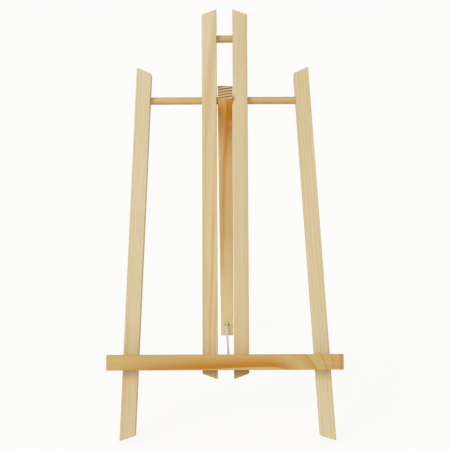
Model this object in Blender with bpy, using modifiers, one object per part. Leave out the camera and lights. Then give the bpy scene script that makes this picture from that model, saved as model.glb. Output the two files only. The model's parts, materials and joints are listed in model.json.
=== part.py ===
"""Small pine display easel: a splayed front frame, a hinged rear leg and a stay cord.

Lengths are in metres, +Z is up and the front of the easel faces -Y. The origin lies on
the table, under the middle of the easel's footprint.

Heights on the front frame are measured up its slope from the feet of the two legs.
"""

import math

import bmesh
import bpy
from mathutils import Matrix, Vector

# Square strip stock, round dowel stock and the joints between pieces
STRIP_WIDTH = 0.016
STRIP_DEPTH = 0.016
EDGE_EASE = 0.0004
END_CUT = math.radians(20)
DOWEL_DIAMETER = 0.008
CLEARANCE = 0.0003

# Stance of the open easel
FRAME_LEAN = math.radians(25)
REAR_LEAN = math.radians(20)

# Front frame, up its slope
LEDGE_HEIGHT = 0.082
PIVOT_HEIGHT = 0.3642
DOWEL_SPACING = 0.0686
LEG_HEAD = 0.0354
UPRIGHT_HEAD = 0.0312
UPRIGHT_TAIL = 0.010

# Front frame, across it: from its middle line to the middle of each leg, and the length
# of ledge that runs past each leg
LEFT_LEG_AT_PIVOT = 0.0888
RIGHT_LEG_AT_PIVOT = 0.0848
LEFT_LEG_AT_LEDGE = 0.1007
RIGHT_LEG_AT_LEDGE = 0.1023
LEFT_OVERHANG = 0.0160
RIGHT_OVERHANG = 0.0125

# Rear leg: its head stands above the pivot, and it has slid against the right upright
REAR_HEAD = 0.0112
SIDE_PLAY = 0.0007

# Brads from behind each strip into the ledge
BRAD_DIAMETER = 0.0013
BRAD_HEAD_DIAMETER = 0.0021
BRAD_HEAD_THICKNESS = 0.0008
BRAD_POINT = 0.0015
BRAD_BITE = 0.009

# Stay cord and the wire staples over its ends
CORD_DIAMETER = 0.0022
STAPLE_WIRE = 0.001
STAPLE_BITE = 0.008
STAPLE_SIDE_GAP = 0.00045
STAPLE_CORNER = 0.0009
REAR_STAPLE_RISE = 0.020
LEDGE_STAPLE_SIDE = 0.0027

# Route of the cord beside each staple: across, out from the wood, up along it
CORD_AT_REAR_STAPLE = (
    (-0.0012, 0.0014, -0.0170),
    (-0.0011, 0.0014, -0.0105),
    (-0.0006, 0.0014, -0.0045),
    (0.0000, 0.0014, 0.0000),
    (0.0002, 0.0021, 0.0028),
    (0.0004, 0.0038, 0.0049),
    (0.0006, 0.0072, 0.0073),
)
CORD_AT_LEDGE_STAPLE = (
    (0.0000, 0.0110, 0.0068),
    (0.0000, 0.0066, 0.0060),
    (0.0000, 0.0039, 0.0047),
    (0.0000, 0.0021, 0.0027),
    (0.0000, 0.0014, 0.0000),
    (0.0002, 0.0014, -0.0032),
    (0.0005, 0.0014, -0.0055),
)
CORD_SAG = 0.0010
CORD_FREE_STEPS = 4
CORD_POINT_SPACING = 2.6 * CORD_DIAMETER

# Facets of round pieces
ROUND_SIDES = 32
WIRE_SIDES = 12
SHARP_EDGE = math.radians(40)

SIDES = {"left": -1, "right": 1}
LEG_AT_PIVOT = {"left": LEFT_LEG_AT_PIVOT, "right": RIGHT_LEG_AT_PIVOT}
LEG_AT_LEDGE = {"left": LEFT_LEG_AT_LEDGE, "right": RIGHT_LEG_AT_LEDGE}
LEDGE_OVERHANG = {"left": LEFT_OVERHANG, "right": RIGHT_OVERHANG}
UPRIGHT_AT = STRIP_WIDTH + SIDE_PLAY
LEDGE_BOTTOM = LEDGE_HEIGHT - STRIP_WIDTH / 2
TOP_DOWEL_HEIGHT = PIVOT_HEIGHT + DOWEL_SPACING
MITRE = math.tan(END_CUT)

PINE = ("D9C394", 0.62, 0.0)
PINE_GOLDEN = ("CDAF6E", 0.58, 0.0)
PINE_REAR = ("CFB080", 0.62, 0.0)
BIRCH = ("CFAF6B", 0.55, 0.0)
NYLON = ("E9E5DB", 0.75, 0.0)
ZINC_WIRE = ("A8A6A0", 0.35, 1.0)


def linear_colour(code):
    """Turn a six-digit sRGB code into linear RGBA."""
    channels = [int(code[i:i + 2], 16) / 255 for i in (0, 2, 4)]
    linear = [c / 12.92 if c <= 0.04045 else ((c + 0.055) / 1.055) ** 2.4 for c in channels]
    return (*linear, 1.0)


def finish(name, look):
    """Make a Principled material from a colour code, a roughness and a metallic value."""
    colour, roughness, metallic = look
    material = bpy.data.materials.new(name)
    material.use_nodes = True
    shader = material.node_tree.nodes["Principled BSDF"]
    shader.inputs["Base Color"].default_value = linear_colour(colour)
    shader.inputs["Roughness"].default_value = roughness
    shader.inputs["Metallic"].default_value = metallic
    material.diffuse_color = linear_colour(colour)
    return material


def clear_scene():
    for item in list(bpy.data.objects):
        bpy.data.objects.remove(item, do_unlink=True)


def new_collection(name):
    collection = bpy.data.collections.new(name)
    bpy.context.scene.collection.children.link(collection)
    return collection


def add_empty(name, parent, matrix):
    empty = bpy.data.objects.new(name, None)
    empty.empty_display_size = STRIP_WIDTH
    PARTS.objects.link(empty)
    empty.parent = parent
    empty.matrix_local = matrix
    return empty


def add_part(name, data, look, parent, matrix=None):
    """Put a named piece with its own material in the easel's collection."""
    part = bpy.data.objects.new(name, data)
    PARTS.objects.link(part)
    part.parent = parent
    part.matrix_local = matrix or Matrix.Identity(4)
    data.materials.append(finish(name + "_finish", look))
    return part


def add_cutter(name, data, parent, matrix):
    cutter = bpy.data.objects.new(name, data)
    CUTTERS.objects.link(cutter)
    cutter.parent = parent
    cutter.matrix_local = matrix
    cutter.hide_render = True
    cutter.display_type = "WIRE"
    return cutter


def cut(part, cutter):
    modifier = part.modifiers.new(cutter.name, "BOOLEAN")
    modifier.operation = "DIFFERENCE"
    modifier.object = cutter


def ease_edges(part):
    """Round the sawn arrises of a strip."""
    bevel = part.modifiers.new("eased_edges", "BEVEL")
    bevel.width = EDGE_EASE
    bevel.segments = 2
    bevel.limit_method = "ANGLE"


def sawn_strip(name, width, depth, top, bottom):
    """Box whose top and bottom are given as heights over (across, deep)."""
    cage = bmesh.new()
    bmesh.ops.create_cube(cage, size=1.0)
    for corner in cage.verts:
        across = corner.co.x * width
        deep = corner.co.y * depth
        height = top(across, deep) if corner.co.z > 0 else bottom(across, deep)
        corner.co = (across, deep, height)
    mesh = bpy.data.meshes.new(name)
    cage.to_mesh(mesh)
    cage.free()
    return mesh


def mitred_strip(name, length, long_side):
    """Strip cut at both ends so that one side (-1 or 1 along X) is the longest."""
    def setback(across):
        return (STRIP_WIDTH / 2 - long_side * across) * MITRE

    return sawn_strip(
        name, STRIP_WIDTH, STRIP_DEPTH,
        top=lambda across, deep: length - setback(across),
        bottom=lambda across, deep: setback(across),
    )


def rod_mesh(name, diameter, length, sides):
    """Round rod along Z, centred."""
    cage = bmesh.new()
    bmesh.ops.create_cone(
        cage, cap_ends=True, segments=sides,
        radius1=diameter / 2, radius2=diameter / 2, depth=length,
    )
    mesh = bpy.data.meshes.new(name)
    cage.to_mesh(mesh)
    cage.free()
    mesh.shade_smooth()
    mesh.set_sharp_from_angle(angle=SHARP_EDGE)
    return mesh


def turned_outline(name, outline):
    """Half profile (radius, height), listed from the top down its outer side."""
    mesh = bpy.data.meshes.new(name)
    edges = [(i, i + 1) for i in range(len(outline) - 1)]
    mesh.from_pydata([(radius, 0.0, height) for radius, height in outline], edges, [])
    return mesh


def turn(item):
    screw = item.modifiers.new("turned", "SCREW")
    screw.steps = WIRE_SIDES
    screw.render_steps = WIRE_SIDES
    screw.use_merge_vertices = True
    screw.merge_threshold = 0.00001


def wire_curve(name, points, diameter):
    """Round wire or cord with filled ends along the given points."""
    curve = bpy.data.curves.new(name, "CURVE")
    curve.dimensions = "3D"
    curve.bevel_depth = diameter / 2
    curve.bevel_resolution = 2
    curve.use_fill_caps = True
    spline = curve.splines.new("POLY")
    spline.points.add(len(points) - 1)
    for slot, point in zip(spline.points, points):
        slot.co = (*point, 1.0)
        slot.radius = 1.0
    return curve


def splay(side):
    """Angle by which a leg opens towards its foot."""
    run = LEG_AT_LEDGE[side] - LEG_AT_PIVOT[side]
    return math.atan2(run, PIVOT_HEIGHT - LEDGE_HEIGHT)


def leg_length(side):
    return (PIVOT_HEIGHT + LEG_HEAD) / math.cos(splay(side))


def leg_matrix(side):
    """Stand the leg's outer bottom corner on height zero of the frame."""
    angle = splay(side)
    foot_height = -STRIP_WIDTH / 2 * math.sin(angle)
    foot_across = LEG_AT_LEDGE[side] + math.tan(angle) * (LEDGE_HEIGHT - foot_height)
    place = Matrix.Translation((SIDES[side] * foot_across, STRIP_DEPTH / 2, foot_height))
    return place @ Matrix.Rotation(-SIDES[side] * angle, 4, "Y")


def ledge_end(side):
    """Distance from the frame's middle line to the end of the ledge."""
    outer_face = LEG_AT_LEDGE[side] + STRIP_WIDTH / 2 / math.cos(splay(side))
    return outer_face + LEDGE_OVERHANG[side]


def dowel_end(side):
    """The pivot dowel stops just inside the outer face of the leg."""
    outer_face = LEG_AT_PIVOT[side] + STRIP_WIDTH / 2 / math.cos(splay(side))
    return outer_face - DOWEL_DIAMETER / 2 * math.tan(splay(side)) - CLEARANCE


def make_legs():
    legs = {}
    for side in SIDES:
        name = side + "_leg"
        mesh = mitred_strip(name, leg_length(side), SIDES[side])
        legs[side] = add_part(name, mesh, PINE, FRAME, leg_matrix(side))
        ease_edges(legs[side])
    return legs


def make_uprights():
    uprights = {}
    foot = LEDGE_BOTTOM - UPRIGHT_TAIL
    length = TOP_DOWEL_HEIGHT + UPRIGHT_HEAD - foot
    for side in SIDES:
        name = side + "_upright"
        mesh = mitred_strip(name, length, -SIDES[side])
        place = Matrix.Translation((SIDES[side] * UPRIGHT_AT, STRIP_DEPTH / 2, foot))
        uprights[side] = add_part(name, mesh, PINE, FRAME, place)
        ease_edges(uprights[side])
    return uprights


def make_ledge():
    length = ledge_end("left") + ledge_end("right")
    middle = (ledge_end("right") - ledge_end("left")) / 2
    mesh = sawn_strip(
        "ledge", length, STRIP_DEPTH,
        top=lambda across, deep: STRIP_WIDTH / 2,
        bottom=lambda across, deep: -STRIP_WIDTH / 2,
    )
    place = Matrix.Translation((middle, -CLEARANCE - STRIP_DEPTH / 2, LEDGE_HEIGHT))
    ledge = add_part("ledge", mesh, PINE_GOLDEN, FRAME, place)
    ease_edges(ledge)
    return ledge


def make_rear_leg():
    """Strip about the hinge: its foot is cut to stand flat on the table."""
    mesh = sawn_strip(
        "rear_leg", STRIP_WIDTH, STRIP_DEPTH,
        top=lambda across, deep: REAR_HEAD + deep * MITRE,
        bottom=lambda across, deep: -REAR_DROP - deep * math.tan(REAR_LEAN),
    )
    rear_leg = add_part("rear_leg", mesh, PINE_REAR, HINGE)
    ease_edges(rear_leg)
    return rear_leg


def make_dowels(legs, uprights, rear_leg):
    """Two rods across the frame, and the bores that they sit in."""
    uprights_end = UPRIGHT_AT + STRIP_WIDTH / 2 - CLEARANCE
    spans = {
        "pivot_dowel": (-dowel_end("left"), dowel_end("right"), PIVOT_HEIGHT),
        "top_dowel": (-uprights_end, uprights_end, TOP_DOWEL_HEIGHT),
    }
    bored = {
        "pivot_dowel": [*legs.values(), *uprights.values(), rear_leg],
        "top_dowel": list(uprights.values()),
    }
    for name, (start, end, height) in spans.items():
        place = Matrix.Translation(((start + end) / 2, STRIP_DEPTH / 2, height))
        lengthways = place @ Matrix.Rotation(math.radians(90), 4, "Y")
        rod = rod_mesh(name, DOWEL_DIAMETER, end - start, ROUND_SIDES)
        add_part(name, rod, BIRCH, FRAME, lengthways)
        bore = rod_mesh(
            name + "_bore", DOWEL_DIAMETER + 2 * CLEARANCE,
            end - start + 2 * STRIP_WIDTH, ROUND_SIDES,
        )
        cutter = add_cutter(name + "_bore", bore, FRAME, lengthways)
        for part in bored[name]:
            cut(part, cutter)


def make_brads(strips, ledge):
    """One brad from behind through each strip into the ledge, its head set flush."""
    head = BRAD_HEAD_DIAMETER / 2
    shank = BRAD_DIAMETER / 2
    neck = -BRAD_HEAD_THICKNESS
    tip = -(STRIP_DEPTH + BRAD_BITE)
    outline = [
        (0.0, 0.0), (head, 0.0), (head, neck), (shank, neck), (shank, tip + BRAD_POINT), (0.0, tip),
    ]
    mouth = 2 * CLEARANCE
    hole = [
        (0.0, mouth), (head + CLEARANCE, mouth), (head + CLEARANCE, neck - CLEARANCE),
        (shank + CLEARANCE, neck - CLEARANCE), (shank + CLEARANCE, tip - CLEARANCE),
        (0.0, tip - CLEARANCE),
    ]
    for strip_name, (strip, across) in strips.items():
        place = Matrix.Translation((across, STRIP_DEPTH - CLEARANCE, LEDGE_HEIGHT))
        inwards = place @ Matrix.Rotation(math.radians(-90), 4, "X")
        name = "brad_" + strip_name
        brad = add_part(name, turned_outline(name, outline), ZINC_WIRE, FRAME, inwards)
        turn(brad)
        cutter = add_cutter(name + "_hole", turned_outline(name + "_hole", hole), FRAME, inwards)
        turn(cutter)
        cut(strip, cutter)
        cut(ledge, cutter)


def staple_points():
    """Wire of a staple about its seat: crown along X, out along Y, legs into the wood."""
    half_span = (CORD_DIAMETER + STAPLE_WIRE) / 2 + STAPLE_SIDE_GAP
    crown = CORD_DIAMETER + 2 * CLEARANCE + STAPLE_WIRE / 2
    bend = [
        (math.cos(turned), math.sin(turned))
        for turned in (math.radians(degrees) for degrees in (0, 30, 60, 90))
    ]
    right = [(half_span, -STAPLE_BITE, 0.0)]
    for cosine, sine in bend:
        across = half_span - STAPLE_CORNER * (1 - cosine)
        out = crown - STAPLE_CORNER * (1 - sine)
        right.append((across, out, 0.0))
    left = [(-across, out, up) for across, out, up in reversed(right)]
    return right + left, half_span


def make_staple(name, parent, seat, wood):
    """Staple over the cord on a wooden face, with the two holes that it has made."""
    points, half_span = staple_points()
    add_part(name, wire_curve(name, points, STAPLE_WIRE), ZINC_WIRE, parent, seat)
    depth = STAPLE_BITE + CLEARANCE
    mouth = 2 * CLEARANCE
    for side, sign in SIDES.items():
        hole_name = name + "_hole_" + side
        hole = rod_mesh(hole_name, STAPLE_WIRE + 2 * CLEARANCE, depth + mouth, WIRE_SIDES)
        centre = Matrix.Translation((sign * half_span, (mouth - depth) / 2, 0.0))
        inwards = seat @ centre @ Matrix.Rotation(math.radians(90), 4, "X")
        cut(wood, add_cutter(hole_name, hole, parent, inwards))


def smooth_points(route, spacing):
    """Points along a centripetal Catmull-Rom curve through the route."""
    padded = [2 * route[0] - route[1], *route, 2 * route[-1] - route[-2]]
    points = []
    for before, start, end, after in zip(padded, padded[1:], padded[2:], padded[3:]):
        knots = [0.0]
        for a, b in ((before, start), (start, end), (end, after)):
            knots.append(knots[-1] + math.sqrt((b - a).length))
        t0, t1, t2, t3 = knots
        steps = max(2, math.ceil((end - start).length / spacing))
        for step in range(steps):
            t = t1 + (t2 - t1) * step / steps
            a1 = before.lerp(start, (t - t0) / (t1 - t0))
            a2 = start.lerp(end, (t - t1) / (t2 - t1))
            a3 = end.lerp(after, (t - t2) / (t3 - t2))
            b1 = a1.lerp(a2, (t - t0) / (t2 - t0))
            b2 = a2.lerp(a3, (t - t1) / (t3 - t1))
            points.append(b1.lerp(b2, (t - t1) / (t2 - t1)))
    points.append(route[-1])
    return points


def make_stay_cord(rear_seat, ledge_seat):
    """Cord from under the rear staple, nearly straight, to under the ledge staple."""
    start = [rear_seat @ Vector(point) for point in CORD_AT_REAR_STAPLE]
    end = [ledge_seat @ Vector(point) for point in CORD_AT_LEDGE_STAPLE]
    free = []
    for step in range(1, CORD_FREE_STEPS):
        share = step / CORD_FREE_STEPS
        point = start[-1].lerp(end[0], share)
        point.z -= CORD_SAG * 4 * share * (1 - share)
        free.append(point)
    points = smooth_points(start + free + end, CORD_POINT_SPACING)
    add_part("stay_cord", wire_curve("stay_cord", points, CORD_DIAMETER), NYLON, ROOT)


def centre_on_footprint(parts):
    """Move the whole easel so that the origin is under the middle of its footprint."""
    bpy.context.view_layer.update()
    graph = bpy.context.evaluated_depsgraph_get()
    corners = []
    for part in parts:
        evaluated = part.evaluated_get(graph)
        corners += [evaluated.matrix_world @ Vector(corner.co) for corner in evaluated.data.vertices]
    low = Vector(min(corner[i] for corner in corners) for i in range(3))
    high = Vector(max(corner[i] for corner in corners) for i in range(3))
    ROOT.location -= Vector(((low.x + high.x) / 2, (low.y + high.y) / 2, low.z))


clear_scene()
PARTS = new_collection("display_easel")
CUTTERS = new_collection("easel_cutters")

# The frame stands on the lower back corners of its legs, whose arrises are eased
FRAME_LIFT = STRIP_DEPTH * math.sin(FRAME_LEAN) - EDGE_EASE * MITRE * math.cos(FRAME_LEAN)
FRAME_MATRIX = Matrix.Translation((0, 0, FRAME_LIFT)) @ Matrix.Rotation(-FRAME_LEAN, 4, "X")
REAR_ACROSS = SIDE_PLAY - CLEARANCE
PIVOT = FRAME_MATRIX @ Vector((REAR_ACROSS, STRIP_DEPTH / 2, PIVOT_HEIGHT))
HINGE_MATRIX = Matrix.Translation(PIVOT) @ Matrix.Rotation(REAR_LEAN, 4, "X")
REAR_DROP = PIVOT.z / math.cos(REAR_LEAN)

ROOT = add_empty("easel_origin", None, Matrix.Identity(4))
FRAME = add_empty("front_frame", ROOT, FRAME_MATRIX)
HINGE = add_empty("rear_leg_hinge", ROOT, HINGE_MATRIX)

LEGS = make_legs()
UPRIGHTS = make_uprights()
LEDGE = make_ledge()
REAR_LEG = make_rear_leg()
make_dowels(LEGS, UPRIGHTS, REAR_LEG)

CROSSINGS = {}
for side_name, side_sign in SIDES.items():
    CROSSINGS[side_name + "_leg"] = (LEGS[side_name], side_sign * LEG_AT_LEDGE[side_name])
    CROSSINGS[side_name + "_upright"] = (UPRIGHTS[side_name], side_sign * UPRIGHT_AT)
make_brads(CROSSINGS, LEDGE)

FOOT_FRONT = STRIP_DEPTH / 2 * math.tan(REAR_LEAN) - REAR_DROP
REAR_SEAT = Matrix.Translation((0, -STRIP_DEPTH / 2, FOOT_FRONT + REAR_STAPLE_RISE))
REAR_SEAT = REAR_SEAT @ Matrix.Rotation(math.pi, 4, "Z")
LEDGE_SEAT = Matrix.Translation((LEDGE_STAPLE_SIDE, -CLEARANCE, LEDGE_HEIGHT))
make_staple("rear_leg_staple", HINGE, REAR_SEAT, REAR_LEG)
make_staple("ledge_staple", FRAME, LEDGE_SEAT, LEDGE)
make_stay_cord(HINGE_MATRIX @ REAR_SEAT, FRAME_MATRIX @ LEDGE_SEAT)

centre_on_footprint([*LEGS.values(), *UPRIGHTS.values(), LEDGE, REAR_LEG])
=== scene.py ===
"""Small pine display easel: the looks of its wood, cord and wire, on a plain white stage.

Lengths are in metres, and in millimetres where a name or comment says so.
"""

import json
import math
from dataclasses import dataclass

import bmesh
import bpy
from mathutils import Matrix, Vector


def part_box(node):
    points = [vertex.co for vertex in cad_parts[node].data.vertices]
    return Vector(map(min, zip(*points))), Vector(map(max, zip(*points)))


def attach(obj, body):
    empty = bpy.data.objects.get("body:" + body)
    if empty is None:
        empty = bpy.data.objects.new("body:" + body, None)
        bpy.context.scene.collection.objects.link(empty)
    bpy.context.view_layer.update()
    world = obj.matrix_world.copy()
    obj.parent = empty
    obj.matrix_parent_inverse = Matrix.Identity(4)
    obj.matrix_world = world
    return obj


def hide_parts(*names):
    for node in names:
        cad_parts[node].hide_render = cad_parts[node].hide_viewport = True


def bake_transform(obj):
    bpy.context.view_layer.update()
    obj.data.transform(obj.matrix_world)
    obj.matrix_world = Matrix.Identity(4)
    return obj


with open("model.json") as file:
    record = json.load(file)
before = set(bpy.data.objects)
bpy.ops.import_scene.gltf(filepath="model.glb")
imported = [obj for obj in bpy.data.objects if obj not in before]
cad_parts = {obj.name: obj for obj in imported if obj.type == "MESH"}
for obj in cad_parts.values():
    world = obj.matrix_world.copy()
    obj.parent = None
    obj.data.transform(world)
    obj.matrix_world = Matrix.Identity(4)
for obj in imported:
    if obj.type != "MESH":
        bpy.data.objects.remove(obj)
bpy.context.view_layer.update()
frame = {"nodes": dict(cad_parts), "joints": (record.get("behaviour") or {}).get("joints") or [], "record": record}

bl_info = {
    "name": "Pine display easel",
    "version": (1, 0, 0),
    "blender": (4, 5, 0),
    "location": "View3D > Sidebar > Easel",
    "description": "Dresses a small folding pine easel and sets it on a white stage",
    "category": "Object",
}

MM = 1000.0
MERGE_DISTANCE = 1e-7

# The frame leans as the ledge's top face does, and the rear leg runs from the hinge to its foot
HINGE = Vector(frame["joints"][0]["pos_m"])
MOUNTS = {mount["name"]: mount for mount in frame["record"]["mounts"]}
LEDGE_TOP_AXIS = Vector(MOUNTS["ledge_top"]["axis"])
FRAME_LEAN = math.atan2(LEDGE_TOP_AXIS.y, LEDGE_TOP_AXIS.z)
REAR_FOOT = Vector(MOUNTS["rear_foot"]["pos_m"])
REAR_LEAN = -math.atan2(REAR_FOOT.y - HINGE.y, HINGE.z - REAR_FOOT.z)
LEFT_LEG_SPLAY = math.radians(2.4)
RIGHT_LEG_SPLAY = math.radians(-3.5)
CROSSWAYS = math.radians(-90)

# Lengths of a full strip and of the ledge, and how far the front face lies from a strip's middle
STRIP_MM = 400.0
LEDGE_MM = 247.5
FRONT_MM = 8.0

# Dowel rods, with their sawn rims eased
ROD_SIDES = 48
RIM_EASE = 0.0005
RIM_STEPS = 3
ROD_SMOOTH_ANGLE = math.radians(30)

# Staples, about their seats, with the crown along X and out from the wood along Y: depth in the wood,
# height of the crown, half the span and radius of the corners, all to the middle of the wire
STAPLE_BITE = 0.008
STAPLE_CROWN = 0.0033
STAPLE_HALF_SPAN = 0.00205
STAPLE_CORNER = 0.0009
STAPLE_CORNER_STEPS = 6
WIRE_SIDES = 16
WIRE_SMOOTH_ANGLE = math.radians(40)

# Route of the stay cord beside each staple: across, out from the wood, up along it
CORD_AT_REAR_STAPLE = (
    (-0.0012, 0.0014, -0.0170),
    (-0.0011, 0.0014, -0.0105),
    (-0.0006, 0.0014, -0.0045),
    (0.0000, 0.0014, 0.0000),
    (0.0002, 0.0021, 0.0028),
    (0.0004, 0.0038, 0.0049),
    (0.0006, 0.0072, 0.0073),
)
CORD_AT_LEDGE_STAPLE = (
    (0.0000, 0.0110, 0.0068),
    (0.0000, 0.0066, 0.0060),
    (0.0000, 0.0039, 0.0047),
    (0.0000, 0.0021, 0.0027),
    (0.0000, 0.0014, 0.0000),
    (0.0002, 0.0014, -0.0032),
    (0.0005, 0.0014, -0.0055),
)
CORD_SAG = 0.0010
CORD_FREE_STEPS = 4
# Rings and sides of the cord's tube, close enough to show the strands of its braid
CORD_RING_SPACING = 0.00027
CORD_SIDES = 30
# How far the fuzz of the yarn lightens the cord, against the crests of its braid
FUZZ_LIFT = 0.3

# Light from the front left, and a camera that stands where the photograph was taken
KEY_LIGHT_PLACE = Vector((-1.0, -0.80, 0.80))
CAMERA_PLACE = (0.00844, -1.1607, 0.6015)
CAMERA_YAW = math.radians(0.400)
CAMERA_PITCH = math.radians(90 - 19.28)
CAMERA_ROLL = math.radians(-0.422)
CAMERA_SENSOR_MM = 36.0
# Share of pure white that the floor shows when it is seen directly, which leaves the shadow faint
FLOOR_WHITE = 0.9


def linear_colour(code):
    """Turn a six-digit sRGB code into linear RGBA."""
    channels = [int(code[i:i + 2], 16) / 255 for i in (0, 2, 4)]
    linear = [c / 12.92 if c <= 0.04045 else ((c + 0.055) / 1.055) ** 2.4 for c in channels]
    return (*linear, 1.0)


def colour_property(name, description, code):
    return bpy.props.FloatVectorProperty(
        name=name, description=description, subtype="COLOR", size=4,
        min=0.0, max=1.0, default=linear_colour(code),
    )


def length_property(name, description, default):
    return bpy.props.FloatProperty(
        name=name, description=description, unit="LENGTH", min=0.0, precision=5, default=default,
    )


class EaselWoodSettings(bpy.types.PropertyGroup):
    """Colours of the pine strips and the birch dowels."""
    earlywood: colour_property("Earlywood", "Pale spring growth of the legs and uprights", "DFD1B0")
    # Latewood is also the colour of the painted shade on the uprights' lower ends, below the ledge
    latewood: colour_property("Latewood", "Darker summer growth of the legs and uprights", "CCAC6A")
    ledge_pale: colour_property("Ledge, pale", "Pale growth of the ledge", "D1BA80")
    ledge_band: colour_property("Ledge, band", "Resinous orange growth of the ledge", "BE8122")
    rear_pale: colour_property("Rear leg, pale", "Pale growth of the rear leg", "E9DBAE")
    # The rear band is also, in part, the colour of the painted shade on the rear leg's upper part
    rear_band: colour_property("Rear leg, band", "Orange growth of the rear leg", "D68D08")
    end_pale: colour_property("End grain, pale", "Spring growth on a sawn end", "DDBE8A")
    end_dark: colour_property("End grain, dark", "Summer growth on a sawn end", "704820")
    birch: colour_property("Birch", "Dowel rod", "D2B77E")
    birch_fleck: colour_property("Birch fleck", "Short darker flecks along the dowel rod", "BF9A5C")


class EaselCordSettings(bpy.types.PropertyGroup):
    """Sizes and colours of the stay cord and its wire staples."""
    diameter: length_property("Diameter", "Thickness of the cord", 0.0022)
    braid_pitch: length_property("Braid pitch", "Length of one crossing of the braid", 0.0013)
    braid_depth: length_property("Braid depth", "Depth of the furrows between strands", 0.00016)
    strands: bpy.props.IntProperty(
        name="Strands", description="Strands that wind each way round", min=3, default=6,
    )
    colour: colour_property("Cord colour", "Undyed nylon yarn", "E8E3D8")
    furrow: colour_property("Furrow colour", "Dust and shade between the strands", "BAB4AA")
    wire: length_property("Staple wire", "Thickness of the staple wire", 0.0010)
    zinc: colour_property("Zinc", "Galvanised steel", "C4C2BB")
    zinc_dark: colour_property("Zinc, dulled", "Weathered spots of the zinc", "96948D")


class EaselStageSettings(bpy.types.PropertyGroup):
    """Floor, light and camera."""
    floor_size: length_property("Floor size", "Side of the floor", 24.0)
    floor: colour_property("Floor", "Warm white paper", "F0DCB4")
    key_spread: bpy.props.FloatProperty(
        name="Key light spread", description="Angle that the soft light fills, which softens its shadows",
        subtype="ANGLE", min=0.0, default=math.radians(32),
    )
    key_strength: bpy.props.FloatProperty(
        name="Key light strength", description="Strength of the soft light", min=0.0, default=1.4,
    )
    sky: bpy.props.FloatProperty(
        name="Sky", description="Strength of the even white light", min=0.0, default=0.63,
    )
    lens: bpy.props.FloatProperty(
        name="Lens", description="Focal length", unit="CAMERA", min=1.0, default=88.08,
    )


def deselect_all():
    bpy.ops.object.select_all(action="DESELECT")


def add_node(tree, kind, inputs=None, out=0, stops=None, ease="LINEAR", **settings):
    """Add a shader node and return one of its outputs.

    Inputs are values, or sockets to link. Stops are a colour ramp's (position, value) pairs.
    """
    node = tree.nodes.new("ShaderNode" + kind)
    for name, value in settings.items():
        setattr(node, name, value)
    for socket, value in (inputs or {}).items():
        if isinstance(value, bpy.types.NodeSocket):
            tree.links.new(value, node.inputs[socket])
        else:
            node.inputs[socket].default_value = value
    if stops:
        ramp = node.color_ramp
        ramp.interpolation = ease
        while len(ramp.elements) < len(stops):
            ramp.elements.new(1.0)
        for element, (position, value) in zip(ramp.elements, stops):
            element.position = position
            element.color = value if hasattr(value, "__len__") else (value, value, value, 1.0)
    return node.outputs[out]


def new_material(name):
    """Principled material: returns it with its node tree and shader."""
    material = bpy.data.materials.new(name)
    material.use_nodes = True
    return material, material.node_tree, material.node_tree.nodes["Principled BSDF"]


def link_surface(tree, shader, colour, roughness, normal):
    """Lead a pattern's colour, roughness and relief into its shader."""
    tree.links.new(colour, shader.inputs["Base Color"])
    tree.links.new(roughness, shader.inputs["Roughness"])
    tree.links.new(normal, shader.inputs["Normal"])


def dress(node_name, material):
    """Give a node of the model its finish in place of the plain one."""
    slots = frame["nodes"][node_name].data.materials
    slots.clear()
    slots.append(material)


def box_middle(node_name):
    low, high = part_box(node_name)
    return (low + high) / 2


@dataclass
class Streak:
    """Resin-darkened growth along a strip. Stops are (share of a full strip's length, value).

    The half width is in millimetres, as are the path's values, which run across the front
    face. The swell's values are strengths.
    """
    half_width: float
    path: tuple
    swell: tuple


@dataclass
class Grain:
    """How a strip lay in the log. Lengths are in millimetres.

    The rings stand at ring_turn degrees to the front face and curve round the pith, that far
    away. Late_from is the share of a year at which the darker growth starts, strength is how
    dark it is, and wander is how far the rings stray. Drift moves the rings sideways, tone
    darkens the wood, partly as painted shade on some strips, and light is painted light and
    shade, a brightness that stands in for shadow, in stops of (share of a full strip's length,
    value). Streak_shade is how much light the richest part of a streak takes away.
    """
    ring_spacing: float
    ring_turn: float
    late_from: float
    strength: float
    wander: float
    seed: float
    drift: tuple
    tone: tuple
    streaks: tuple = ()
    streak_shade: float = 0.0
    light: tuple = ()
    pith: float = 90.0


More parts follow.
